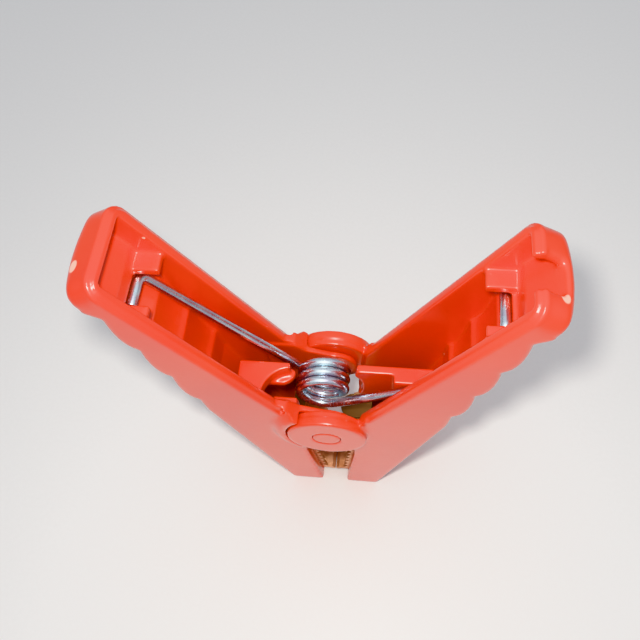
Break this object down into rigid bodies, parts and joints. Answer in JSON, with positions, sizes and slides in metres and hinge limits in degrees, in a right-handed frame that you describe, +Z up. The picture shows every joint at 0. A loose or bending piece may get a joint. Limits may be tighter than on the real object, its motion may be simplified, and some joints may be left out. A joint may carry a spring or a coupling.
{
  "type": "insulated spring clip",
  "caption": "Insulated spring clip: two plastic halves that snap together on moulded studs, a wire torsion spring and toothed copper jaw liners.",
  "frame": {"origin": "middle of the flat rest under the jaw tips, halfway across the width", "axes": "X from the left handle to the right handle, Y along the pivot axis, Z up from the jaw tips to the handle ends"},
  "size_m": [0.0844, 0.023, 0.0961],
  "materials": {
    "red_plastic": "moulded, semi-gloss, orange red",
    "zinc_wire": "bright zinc plated spring wire",
    "copper_sheet": "copper plated sheet, slightly tarnished"
  },
  "bodies": {
    "left_half": {"left_handle": "red_plastic", "left_jaw_liner": "copper_sheet", "torsion_spring": "zinc_wire"},
    "right_half": {"right_handle": "red_plastic", "right_jaw_liner": "copper_sheet"}
  },
  "joints": [
    {"name": "handle_pivot", "type": "hinge", "parent": "left_half", "child": "right_half", "pos_m": [0, 0, 0.0386], "axis": [0, -1, 0], "range_deg": [0, 45], "stiffness_Nm_per_rad": 1.5, "springref_deg": -20.05, "deforming": ["torsion_spring"]}
  ]
}
